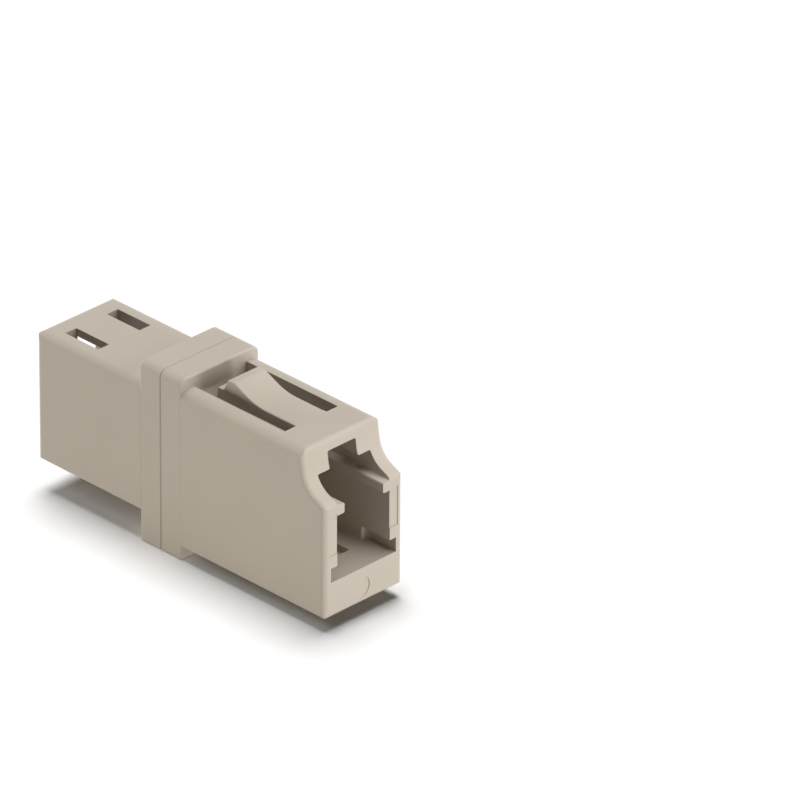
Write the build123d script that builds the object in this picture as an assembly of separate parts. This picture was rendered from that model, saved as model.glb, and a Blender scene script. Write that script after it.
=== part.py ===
"""Simplex fibre adapter for two plugs of the 1.25 mm ferrule type, with a sprung panel latch.

Millimetres. X runs along the optical axis towards the long (front) port, Y across, Z up to the latch side.
The origin is on the optical axis, in the plane where the two mouldings meet in the middle of the flange.
"""
import os
from math import radians, tan

from build123d import *

# Plug interface, the same in both ports
plug_square = 4.60  # width and height of the plug body's cavity, centred on the optical axis
rib_gap = 3.38  # clear width between the two guide ribs over the plug body
rib_thickness = 0.70
notch_width = 2.46  # room for the plug's latch lever
port_corner = 0.12  # rounding in the corners of the port's section
overrun = 1.0  # how far a cut runs past the face that it opens

# Body across and the flange
width = 6.83  # both bodies and the flange are flush at the sides
flange_half = 1.87  # half of the flange's thickness, one half on each moulding
flange_bottom = -5.70
flange_top = 7.22
flange_top_radius = 0.55
flange_edge_radius = 0.15
body_overlap = 0.10  # how far both bodies reach into the flange, past most of its rounded edge
parting_chamfer = 0.07  # the thin groove round the flange where the halves meet

# Long front body
front_length = 12.81  # beyond the flange
front_bottom = -4.73
front_top = 6.44
front_top_radius = 0.70
front_ear_ceiling = 4.50  # top of the channel for the ears of the plug's latch
front_notch_top = 5.68  # top of the lever's room, which is the panel latch's underside too

# Scoop over the front port, which leaves room for a finger on the plug's lever
lip_height = 3.13  # top of the end face
lip_radius = 0.38
ramp_angle = 25.0
scoop_back = 2.10  # from the end face back to the upright wall, where it meets the top
wall_lean = 8.0
scoop_radius = 1.90
scoop_top_radius = 0.32

# Short rear body
rear_length = 9.42
rear_bottom = -3.52
rear_top = 5.64
rear_top_radius = 0.55
rear_end_radius = 0.36  # level edges of the end face
rear_ear_ceiling = 4.05
rear_notch_top = 5.30

# Rounding shared by both bodies
end_corner_radius = 0.34  # upright edges of the end faces
scoop_edge_radius = 0.30  # side edges of the scoop
bottom_radius = 0.15

# Windows in the rear body, over the pockets that hold the ears of the plug's latch
window_inner = 2.66  # between the two windows
window_outer = 4.58
window_near = 6.82  # distance of their ends from the middle of the adapter
window_far = 9.83
bridge_thickness = 0.55  # of the strip between them, over one pocket for both ears

# Floor of the ports
groove_width = 1.80
groove_depth = 0.48
front_groove_end = 12.50
hood_width = 5.70  # widened foot of the front port
hood_height = 1.02
hood_start = 12.18
hood_corner = 0.35

# Web and sleeve holder in the middle
web_half = 1.50
holder_diameter = 2.90
holder_lip = 0.50
ferrule_hole = 1.42  # narrow end of the funnel through the lip
ferrule_lead = 0.25  # how much wider its mouth is all round
holder_chamfer = 0.12
sleeve_outer = 1.62
sleeve_inner = 1.249
sleeve_length = 6.80
sleeve_slit = 0.30
sleeve_play = 0.05  # round the sleeve, and at each of its ends

# Panel latch
latch_root = 10.03  # where it leaves the body
latch_width = 2.67
latch_toe = 3.00
toe_rise = 0.02
crest_height = 0.87  # over the top of the front body
crest_end = 3.97
crest_start = 4.54
latch_ramp_angle = 25.0
latch_foot = 3.55
latch_bend_radius = 4.50
crest_radius = 0.15
crest_start_radius = 0.40
foot_radius = 0.28
toe_radius = 0.12
slot_outer = 4.62  # across the slots at both sides of the latch

# Locating pins of the weld joint
pin_diameter = 1.00
pin_length = 0.80
pin_play = 0.04
pin_spread = 4.20
pin_low = -4.00
pin_high = 6.20

# Marks that the mould leaves on the end faces
insert_depth = 0.05
ejector_diameter = 1.50
ejector_depth = 0.025  # in its middle
ejector_tilt = 2.5  # it digs in at its right-hand side, seen from outside
front_ejector = (-0.20, -3.65)  # place across and up
rear_ejector = (2.40, 4.95)  # one on each side
insert_width = 0.70
front_insert = (-0.40, 2.40)  # bottom and top
rear_insert = (-1.80, 0.70)


def across(width_y, low, high, x_from, x_to):
    """A box from one height to another and one place along the adapter to another, centred across."""
    return Pos((x_from + x_to) / 2, 0, (low + high) / 2) * Box(abs(x_to - x_from), width_y, high - low)


def bar(low, high, top_radius, low_radius, x_from, x_to):
    """A bar along X of the shared width, with rounded long edges."""
    centre = Pos(0, (low + high) / 2)
    outline = centre * Rectangle(width, high - low)
    corners = outline.vertices().sort_by(Axis.Y)
    outline = fillet(corners[2:], top_radius)
    corners = outline.vertices().sort_by(Axis.Y)
    outline = fillet(corners[:2], low_radius)
    solid = extrude(Plane.YZ * outline, amount=abs(x_to - x_from))
    return Pos(min(x_from, x_to), 0, 0) * solid


def side_shape(corners, radii, wide):
    """A shape drawn from the side as corners (x, z), with a radius for some of them, and a width across."""
    outline = make_face(Polyline(*corners, close=True))
    for place, radius in radii.items():
        corner = outline.vertices().sort_by_distance(place)[0]
        outline = fillet(corner, radius)
    return extrude(Plane.XZ * outline, amount=wide / 2, both=True)


def plan_shape(x_start, x_end, radius):
    """The body seen from above, with its two corners at the end face rounded."""
    low_x, high_x = min(x_start, x_end), max(x_start, x_end)
    outline = Pos((low_x + high_x) / 2, 0) * Rectangle(high_x - low_x, width)
    corners = outline.vertices().filter_by(lambda corner: abs(corner.X - x_end) < 0.01)
    outline = fillet(corners, radius)
    tall = 2 * (flange_top - flange_bottom)
    return extrude(Plane.XY * outline, amount=tall, both=True)


def flange(side):
    """Half of the flange: side is 1 for the front moulding and -1 for the rear one."""
    block = bar(flange_bottom, flange_top, flange_top_radius, bottom_radius, 0, side * flange_half)
    along = block.edges().group_by(Axis.X)
    outer = along[-1] if side > 0 else along[0]
    block = fillet(outer, flange_edge_radius)
    along = block.edges().group_by(Axis.X)
    inner = along[0] if side > 0 else along[-1]
    return chamfer(inner, parting_chamfer)


def port(side, x_end, ear_ceiling, notch_top, lever_end):
    """The room inside a port, cut from its open end to the web."""
    x_web, x_flange = side * web_half, side * flange_half
    half = plug_square / 2
    over_ribs = half + rib_thickness
    room = across(plug_square, -half, half, x_web, x_end)
    room += across(rib_gap, half, over_ribs, x_flange, x_end)
    room += across(plug_square, over_ribs, ear_ceiling, x_flange, x_end)
    room += across(notch_width, ear_ceiling, notch_top, lever_end, x_end)
    long_edges = room.edges().filter_by(Axis.X)
    room = fillet(long_edges, port_corner)
    return room


def sleeve_holder(side):
    """Half of the holder: a tube that stands on the web and ends in a lip, without its bore."""
    reach = sleeve_length / 2 + sleeve_play + holder_lip
    tube = Cylinder(holder_diameter / 2, reach, align=(Align.CENTER, Align.CENTER, Align.MIN))
    rim = tube.edges().filter_by(GeomType.CIRCLE).sort_by(Axis.Z)[-1]
    tube = chamfer(rim, holder_chamfer)
    return Rot(0, side * 90, 0) * tube


def holder_bore(side):
    """The sleeve's chamber and the funnel through the lip that leads the ferrule in."""
    chamber_end = sleeve_length / 2 + sleeve_play
    start = (Align.CENTER, Align.CENTER, Align.MIN)
    bore = Cylinder(sleeve_outer / 2 + sleeve_play, chamber_end, align=start)
    funnel = Cone(ferrule_hole / 2, ferrule_hole / 2 + ferrule_lead, holder_lip, align=start)
    bore += Pos(0, 0, chamber_end) * funnel
    return Rot(0, side * 90, 0) * bore


def pins(play):
    """The three locating pins, or with some play their holes."""
    start = (Align.CENTER, Align.CENTER, Align.MIN)
    pin = Rot(0, -90, 0) * Cylinder(pin_diameter / 2 + play, pin_length + play, align=start)
    places = [(pin_spread / 2, pin_low), (-pin_spread / 2, pin_low), (0, pin_high)]
    return [Pos(0, y, z) * pin for y, z in places]


def ejector_mark(x_face, side, y, z):
    """The round print of an ejector pin that stood a little askew, deeper at one side."""
    start = (Align.CENTER, Align.CENTER, Align.MIN)
    pin = Rot(0, side * 90, 0) * Cylinder(ejector_diameter / 2, overrun, align=start)
    askew = Rot(0, 0, ejector_tilt) * pin
    return Pos(x_face - side * ejector_depth, y, z) * askew


def insert_mark(x_face, side, side_y, low, high):
    """The shallow rectangle that a mould insert leaves beside a port."""
    inner = plug_square / 2
    middle = side_y * (inner + insert_width / 2)
    block = across(insert_width, low, high, x_face - side * insert_depth, x_face)
    return Pos(0, middle, 0) * block


def front_body(x_end):
    """The long body with its scoop, solid inside."""
    ramp = tan(radians(ramp_angle))
    lean = tan(radians(wall_lean))
    wall_top = x_end - scoop_back
    # the ramp rises from the lip, and the leaning wall falls from the top: they meet at one corner
    corner_x = (wall_top + (front_top - lip_height - ramp * x_end) * lean) / (1 - ramp * lean)
    corner_z = lip_height + (x_end - corner_x) * ramp
    lip, corner, brow = (x_end, lip_height), (corner_x, corner_z), (wall_top, front_top)
    x_start = flange_half - body_overlap
    outline = [(x_start, front_bottom), (x_end, front_bottom), lip, corner, brow, (x_start, front_top)]
    radii = {corner: scoop_radius, brow: scoop_top_radius}
    softened = side_shape(outline, radii, width)
    side_edges = [edge for edge in softened.edges() if edge.bounding_box().size.Y < 0.001]
    scoop_edges = [edge for edge in side_edges if edge.center().Z > lip_height]
    softened = fillet(scoop_edges, scoop_edge_radius)
    radii |= {lip: lip_radius, (x_end, front_bottom): bottom_radius}
    body = bar(front_bottom, front_top, front_top_radius, bottom_radius, x_start, x_end)
    body &= side_shape(outline, radii, width)
    body &= softened
    return body & plan_shape(x_start, x_end, end_corner_radius)


def front_housing():
    x_end = flange_half + front_length
    shell = front_body(x_end) + flange(1)
    shell -= port(1, x_end + overrun, front_ear_ceiling, front_notch_top, latch_root)
    over_ribs = plug_square / 2 + rib_thickness
    shell -= across(slot_outer, over_ribs, front_top + overrun, flange_half, latch_root)
    floor = -plug_square / 2
    shell -= across(groove_width, floor - groove_depth, floor, web_half, front_groove_end)
    hood = across(hood_width, floor, floor + hood_height, hood_start, x_end + overrun)
    hood_corners = hood.edges().filter_by(Axis.Z).group_by(Axis.X)[0]
    shell -= fillet(hood_corners, hood_corner)
    shell += sleeve_holder(1)
    shell -= holder_bore(1)
    for pin in pins(0):
        shell += pin
    for side_y in (-1, 1):
        shell -= insert_mark(x_end, 1, side_y, *front_insert)
    shell -= ejector_mark(x_end, 1, *front_ejector)
    return shell


def rear_body(x_end):
    """The short body, solid inside."""
    x_start = body_overlap - flange_half
    outline = [(x_start, rear_bottom), (x_end, rear_bottom), (x_end, rear_top), (x_start, rear_top)]
    radii = {(x_end, rear_bottom): rear_end_radius, (x_end, rear_top): rear_end_radius}
    body = bar(rear_bottom, rear_top, rear_top_radius, bottom_radius, x_start, x_end)
    body &= side_shape(outline, radii, width)
    return body & plan_shape(x_start, x_end, end_corner_radius)


def rear_housing():
    x_end = -(flange_half + rear_length)
    shell = rear_body(x_end) + flange(-1)
    shell -= port(-1, x_end - overrun, rear_ear_ceiling, rear_notch_top, -window_far)
    over_ribs = plug_square / 2 + rib_thickness
    underside = rear_top - bridge_thickness
    shell -= across(notch_width, over_ribs, underside, -flange_half, -window_far)
    windows = across(window_outer, over_ribs, rear_top + overrun, -window_near, -window_far)
    windows -= across(window_inner, underside, rear_top + overrun, -window_near, -window_far)
    shell -= windows
    floor = -plug_square / 2
    shell -= across(groove_width, floor - groove_depth, floor, -web_half, x_end - overrun)
    shell += sleeve_holder(-1)
    shell -= holder_bore(-1)
    for pin in pins(pin_play):
        shell -= pin
    for side_y in (-1, 1):
        shell -= insert_mark(x_end, -1, side_y, *rear_insert)
        shell -= ejector_mark(x_end, -1, side_y * rear_ejector[0], rear_ejector[1])
    return shell


def panel_latch():
    underside = front_notch_top
    crest = front_top + crest_height
    toe_top = front_top + toe_rise
    bend = (crest_start + crest_height / tan(radians(latch_ramp_angle)), front_top)
    start, end, foot = (crest_start, crest), (crest_end, crest), (latch_foot, toe_top)
    toe = (latch_toe, toe_top)
    root = (latch_root, front_top)
    outline = [(latch_root, underside), root, bend, start, end, foot, toe, (latch_toe, underside)]
    radii = {bend: latch_bend_radius, start: crest_start_radius, end: crest_radius}
    radii |= {foot: foot_radius, toe: toe_radius}
    return side_shape(outline, radii, latch_width)


def alignment_sleeve():
    tube = Cylinder(sleeve_outer / 2, sleeve_length) - Cylinder(sleeve_inner / 2, sleeve_length)
    slit = Pos(-sleeve_outer / 2, 0, 0) * Box(sleeve_outer, sleeve_slit, sleeve_length)
    return Rot(0, 90, 0) * (tube - slit)


os.makedirs("parts", exist_ok=True)
export_step(front_housing(), "parts/front_housing.step")
export_step(rear_housing(), "parts/rear_housing.step")
export_step(panel_latch(), "parts/panel_latch.step")
export_step(alignment_sleeve(), "parts/alignment_sleeve.step")
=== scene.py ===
"""Looks of a simplex fibre adapter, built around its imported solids. Metres, in the frame of the solids."""
from math import cos, pi, radians, sin, tan

import bpy
from mathutils import Matrix, Vector


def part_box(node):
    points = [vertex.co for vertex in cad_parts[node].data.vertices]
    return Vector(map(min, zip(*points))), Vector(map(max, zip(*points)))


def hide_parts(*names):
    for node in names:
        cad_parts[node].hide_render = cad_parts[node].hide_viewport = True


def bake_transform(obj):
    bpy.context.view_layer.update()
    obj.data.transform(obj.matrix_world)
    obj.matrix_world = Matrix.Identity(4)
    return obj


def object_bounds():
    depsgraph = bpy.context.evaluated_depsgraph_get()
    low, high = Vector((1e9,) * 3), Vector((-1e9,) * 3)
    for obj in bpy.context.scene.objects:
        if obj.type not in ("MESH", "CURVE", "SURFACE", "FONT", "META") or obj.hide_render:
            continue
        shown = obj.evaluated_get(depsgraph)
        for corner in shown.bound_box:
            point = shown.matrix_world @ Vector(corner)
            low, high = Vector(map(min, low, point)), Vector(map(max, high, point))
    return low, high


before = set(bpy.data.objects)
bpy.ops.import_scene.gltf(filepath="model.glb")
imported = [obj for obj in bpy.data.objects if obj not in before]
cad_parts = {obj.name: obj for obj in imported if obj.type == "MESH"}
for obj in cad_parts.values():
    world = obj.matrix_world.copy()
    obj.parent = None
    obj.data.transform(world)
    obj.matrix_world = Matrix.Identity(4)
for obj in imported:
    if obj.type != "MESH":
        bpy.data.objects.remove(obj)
cad_low, cad_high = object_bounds()
scene = bpy.context.scene
mm = 0.001

# Camera, fitted to the photograph
image_side = 800  # pixels
sensor_side = 36.0  # millimetres, as the camera takes them
camera_azimuth = radians(44.82)
camera_elevation = radians(28.93)
camera_roll = radians(0.40)
camera_distance = 667.2 * mm
pixels_per_metre = 15789.1  # at the distance of the flange's foot
view_right = 12.671 * mm  # how far the middle of the picture lies right of the flange's foot
view_up = 8.321 * mm  # and how far above it

# Floor and light
floor_z = cad_low.z
floor_side = 4.0
floor_return = 0.6  # how much of the light that meets the floor goes back to the adapter
world_level = 0.02  # what the surroundings add, apart from what the camera and reflections see
full_level = pi  # the irradiance at which a colour renders as it is written
plain_white = (1, 1, 1)
warm_white = (1, 0.975, 0.87)

# Plastic and ceramic; scales are noise cells per metre
plastic_dark = (0.478, 0.425, 0.357, 1)
plastic_light = (0.512, 0.457, 0.385, 1)
plastic_roughness = (0.42, 0.56)
plastic_specular = 0.35
cloud_scale, cloud_detail = 260, 3.0
grain_scale, grain_detail = 9000, 2.0
grain_strength = 0.25
grain_height = 0.006 * mm
ceramic_dark = (0.86, 0.84, 0.79, 1)
ceramic_light = (0.91, 0.90, 0.86, 1)
ceramic_roughness = (0.18, 0.28)
ceramic_scale, ceramic_detail = 5000, 2.0

# Panel latch, as its solid
latch_low, latch_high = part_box("panel_latch")
latch_toe, underside = latch_low.x, latch_low.z
latch_root, crest = latch_high.x, latch_high.z
top_height = 6.44 * mm
toe_rise = 0.02 * mm
crest_end = 3.97 * mm
crest_start = 4.54 * mm
latch_ramp = radians(25.0)
latch_foot = 3.55 * mm
bend_radius = 4.50 * mm
crest_start_radius = 0.40 * mm
crest_radius = 0.15 * mm
foot_radius = 0.28 * mm
toe_radius = 0.12 * mm
latch_edge = 0.08 * mm
edge_fade = 0.35 * mm
longest_strip = 0.22 * mm
edge_steps = 3
sharp_angle = radians(35)


def place_camera():
    azimuth, elevation, roll = camera_azimuth, camera_elevation, camera_roll
    back = Vector((sin(azimuth) * cos(elevation), -cos(azimuth) * cos(elevation), sin(elevation)))
    level = Vector((cos(azimuth), sin(azimuth), 0))
    upright = back.cross(level)
    right = level * cos(roll) + upright * sin(roll)
    up = upright * cos(roll) - level * sin(roll)
    data = bpy.data.cameras.new("camera")
    data.sensor_width = sensor_side
    data.lens = pixels_per_metre * camera_distance * sensor_side / image_side
    data.clip_start = 0.1 * camera_distance
    data.clip_end = 20 * camera_distance
    camera = bpy.data.objects.new("camera", data)
    foot = Vector((0, 0, floor_z))
    place = foot + back * camera_distance + right * view_right + up * view_up
    camera.matrix_world = Matrix.Translation(place) @ Matrix((right, up, back)).transposed().to_4x4()
    scene.collection.objects.link(camera)
    scene.camera = camera


def new_material(name):
    """A material with only a Principled shader, and its nodes and links."""
    material = bpy.data.materials.new(name)
    material.use_nodes = True
    nodes, links = material.node_tree.nodes, material.node_tree.links
    return material, nodes, links, nodes["Principled BSDF"]


def noise(nodes, links, coordinates, per_metre, detail):
    texture = nodes.new("ShaderNodeTexNoise")
    texture.inputs["Scale"].default_value = per_metre
    texture.inputs["Detail"].default_value = detail
    links.new(coordinates, texture.inputs["Vector"])
    return texture.outputs["Fac"]


def between(nodes, links, factor, low, high):
    """A number that goes from low to high as the factor goes from 0 to 1."""
    blend = nodes.new("ShaderNodeMapRange")
    blend.inputs["To Min"].default_value = low
    blend.inputs["To Max"].default_value = high
    links.new(factor, blend.inputs["Value"])
    return blend.outputs["Result"]


def between_colours(nodes, links, factor, dark, light):
    """A colour that goes from dark to light as the factor goes from 0 to 1."""
    mix = nodes.new("ShaderNodeMix")
    mix.data_type = "RGBA"
    mix.inputs["A"].default_value = dark
    mix.inputs["B"].default_value = light
    links.new(factor, mix.inputs["Factor"])
    return mix.outputs["Result"]


def housing_plastic():
    """Satin moulded plastic, warm light grey, with the fine grain of an eroded mould."""
    material, nodes, links, shader = new_material("housing_plastic")
    place = nodes.new("ShaderNodeTexCoord").outputs["Object"]
    clouds = noise(nodes, links, place, cloud_scale, cloud_detail)
    colour = between_colours(nodes, links, clouds, plastic_dark, plastic_light)
    links.new(colour, shader.inputs["Base Color"])
    grain = noise(nodes, links, place, grain_scale, grain_detail)
    links.new(between(nodes, links, grain, *plastic_roughness), shader.inputs["Roughness"])
    bump = nodes.new("ShaderNodeBump")
    bump.inputs["Strength"].default_value = grain_strength
    bump.inputs["Distance"].default_value = grain_height
    links.new(grain, bump.inputs["Height"])
    links.new(bump.outputs["Normal"], shader.inputs["Normal"])
    shader.inputs["Specular IOR Level"].default_value = plastic_specular
    return material


def sleeve_ceramic():
    """Polished zirconia, nearly white."""
    material, nodes, links, shader = new_material("sleeve_ceramic")
    place = nodes.new("ShaderNodeTexCoord").outputs["Object"]
    grain = noise(nodes, links, place, ceramic_scale, ceramic_detail)
    colour = between_colours(nodes, links, grain, ceramic_dark, ceramic_light)
    links.new(colour, shader.inputs["Base Color"])
    links.new(between(nodes, links, grain, *ceramic_roughness), shader.inputs["Roughness"])
    return material


def rounded(before, corner, after, radius, steps):
    """The corner of an outline as an arc: points from one tangent point to the other."""
    back = (before - corner).normalized()
    ahead = (after - corner).normalized()
    half = back.angle(ahead) / 2
    reach = radius / tan(half)
    middle = corner + (back + ahead).normalized() * (radius / sin(half))
    first, last = corner + back * reach, corner + ahead * reach
    points = []
    for step in range(steps + 1):
        straight = first.lerp(last, step / steps)
        points.append(middle + (straight - middle).normalized() * radius)
    return points


def latch_top():
    """The latch from above its toe to its root, seen from the side, as points (x, z)."""
    bend = crest_start + (crest - top_height) / tan(latch_ramp)
    corners = [(latch_toe, underside), (latch_toe, top_height + toe_rise)]
    corners += [(latch_foot, top_height + toe_rise), (crest_end, crest), (crest_start, crest)]
    corners += [(bend, top_height), (latch_root, top_height)]
    corners = [Vector(corner) for corner in corners]
    radii = (toe_radius, foot_radius, crest_radius, crest_start_radius, bend_radius)
    steps = (6, 6, 6, 8, 14)
    points = []
    for index, (radius, count) in enumerate(zip(radii, steps), 1):
        points += rounded(corners[index - 1], corners[index], corners[index + 1], radius, count)
    return points + [corners[-1]]


def denser(points, longest):
    """The same line with points added so that no run is longer than this."""
    result = [points[0]]
    for point in points[1:]:
        last = result[-1]
        count = max(1, round((point - last).length / longest))
        result += [last.lerp(point, step / count) for step in range(1, count + 1)]
    return result


def panel_latch():
    """The latch as one closed mesh, with rounded long edges, cut across into short strips."""
    top = denser(latch_top(), longest_strip)
    low = [Vector((point.x, underside)) for point in top]
    outline = low[::-1] + top
    count = len(outline)
    normals = []
    for index, point in enumerate(outline):
        before, after = outline[index - 1], outline[(index + 1) % count]
        ahead, back = after - point, point - before
        out_one = Vector((back.y, -back.x)).normalized()
        out_two = Vector((ahead.y, -ahead.x)).normalized()
        mean = (out_one + out_two).normalized()
        normals.append(mean / max(0.5, mean.dot(out_one)))
    # the root is flat, so its points only move up and down
    normals[0] = Vector((0, -1))
    normals[-1] = Vector((0, 1))
    half = latch_high.y
    vertices, faces, rings = [], [], []
    for side in (-1, 1):
        for step in range(edge_steps + 1):
            turn = pi / 2 * step / edge_steps
            ring = []
            for point, normal in zip(outline, normals):
                edge = latch_edge * min(1.0, (latch_root - point.x) / edge_fade)
                moved = point + normal * edge * (1 - cos(turn))
                across = half - edge * (1 - sin(turn))
                ring.append(len(vertices))
                vertices.append((moved.x, side * across, moved.y))
            rings.append(ring)
    order = rings[edge_steps::-1] + rings[edge_steps + 1:]
    for one, two in zip(order, order[1:]):
        for index in range(count):
            after = (index + 1) % count
            faces.append((one[index], one[after], two[after], two[index]))
    for ring, flip in ((order[0], False), (order[-1], True)):
        for index in range(len(top) - 1):
            quad = [ring[index], ring[count - 1 - index], ring[count - 2 - index], ring[index + 1]]
            faces.append(tuple(quad[::-1] if flip else quad))
    mesh = bpy.data.meshes.new("latch")
    mesh.from_pydata(vertices, [], faces)
    mesh.shade_smooth()
    mesh.set_sharp_from_angle(angle=sharp_angle)
    return bpy.data.objects.new("latch", mesh)


def light(name, direction, level, spread, receivers, blockers, colour=plain_white):
    """A far soft light: where it comes from, what it adds to a facing surface, and its width in the sky.

    It lights only the pieces in one collection, and only the pieces in the other cast its shadows.
    Reflections don't show it, only the white surroundings.
    """
    data = bpy.data.lights.new(name, "SUN")
    data.energy = level * full_level
    data.color = colour
    data.angle = radians(spread)
    lamp = bpy.data.objects.new(name, data)
    lamp.rotation_euler = Vector(direction).to_track_quat("Z", "Y").to_euler()
    lamp.visible_glossy = False
    lamp.light_linking.receiver_collection = receivers
    lamp.light_linking.blocker_collection = blockers
    scene.collection.objects.link(lamp)


def only(name, pieces):
    """A collection of these pieces, for the lights."""
    collection = bpy.data.collections.new(name)
    for piece in pieces:
        collection.objects.link(piece)
    return collection


def from_side(azimuth, elevation):
    """The direction towards a place in the sky: azimuth 0 is -Y and 90 is +X."""
    azimuth, elevation = radians(azimuth), radians(elevation)
    return sin(azimuth) * cos(elevation), -cos(azimuth) * cos(elevation), sin(elevation)


def show_white(nodes, links, unlit, white):
    """What the camera and reflections see, white, and what everything else meets."""
    path = nodes.new("ShaderNodeLightPath")
    seen = path.outputs["Is Camera Ray"]
    for name in ("Is Glossy Ray", "Is Transmission Ray"):
        either = nodes.new("ShaderNodeMath")
        either.operation = "MAXIMUM"
        links.new(seen, either.inputs[0])
        links.new(path.outputs[name], either.inputs[1])
        seen = either.outputs[0]
    mix = nodes.new("ShaderNodeMixShader")
    links.new(seen, mix.inputs[0])
    links.new(unlit, mix.inputs[1])
    links.new(white, mix.inputs[2])
    return mix.outputs[0]


def make_world():
    world = scene.world or bpy.data.worlds.new("world")
    scene.world = world
    world.use_nodes = True
    nodes, links = world.node_tree.nodes, world.node_tree.links
    weak = nodes["Background"]
    weak.inputs["Color"].default_value = (*plain_white, 1)
    weak.inputs["Strength"].default_value = world_level
    white = nodes.new("ShaderNodeBackground")
    white.inputs["Color"].default_value = (*plain_white, 1)
    white.inputs["Strength"].default_value = 1.0
    shown = show_white(nodes, links, weak.outputs[0], white.outputs[0])
    links.new(shown, nodes["World Output"].inputs["Surface"])


def make_floor():
    half = floor_side / 2
    corners = [(-half, -half), (half, -half), (half, half), (-half, half)]
    mesh = bpy.data.meshes.new("floor")
    mesh.from_pydata([(x, y, floor_z) for x, y in corners], [], [(0, 1, 2, 3)])
    floor = bpy.data.objects.new("floor", mesh)
    scene.collection.objects.link(floor)
    material, nodes, links, shader = new_material("floor")
    nodes.remove(shader)
    pale = nodes.new("ShaderNodeBsdfDiffuse")
    pale.inputs["Color"].default_value = (floor_return, floor_return, floor_return, 1)
    white = nodes.new("ShaderNodeBsdfDiffuse")
    white.inputs["Color"].default_value = (*plain_white, 1)
    shown = show_white(nodes, links, pale.outputs[0], white.outputs[0])
    links.new(shown, nodes["Material Output"].inputs["Surface"])
    mesh.materials.append(material)
    return floor


def dress(piece, material):
    piece.data.materials.clear()
    piece.data.materials.append(material)


place_camera()
scene.view_settings.view_transform = "Standard"
make_world()
floor = make_floor()
plastic = housing_plastic()
ceramic = sleeve_ceramic()
for node in ("front_housing", "rear_housing"):
    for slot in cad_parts[node].material_slots:
        slot.material = plastic
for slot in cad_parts["alignment_sleeve"].material_slots:
    slot.material = ceramic

latch = panel_latch()
scene.collection.objects.link(latch)
dress(latch, plastic)
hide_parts("panel_latch")
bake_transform(latch)

ground = only("ground", [floor])
adapter = only("adapter", [*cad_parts.values(), latch])

# The floor's lights give it the adapter's soft shadow.
light("floor_key", from_side(234, 77), 0.94, 36, ground, adapter)
light("floor_low", from_side(0, 54), 0.14, 34, ground, adapter)

# The adapter's own lights come from above, and level from four sides.
light("top", from_side(200, 80), 0.83, 60, adapter, adapter)
light("front_side", from_side(-12, -8), 0.325, 24, adapter, adapter, warm_white)
light("front_end", from_side(100, -3), 0.48, 20, adapter, adapter)
light("front_end_high", from_side(108, 24), 0.36, 38, adapter, adapter)
light("back_side", from_side(168, -8), 0.15, 24, adapter, adapter, warm_white)
light("back_end", from_side(277, 1), 0.67, 14, adapter, adapter)
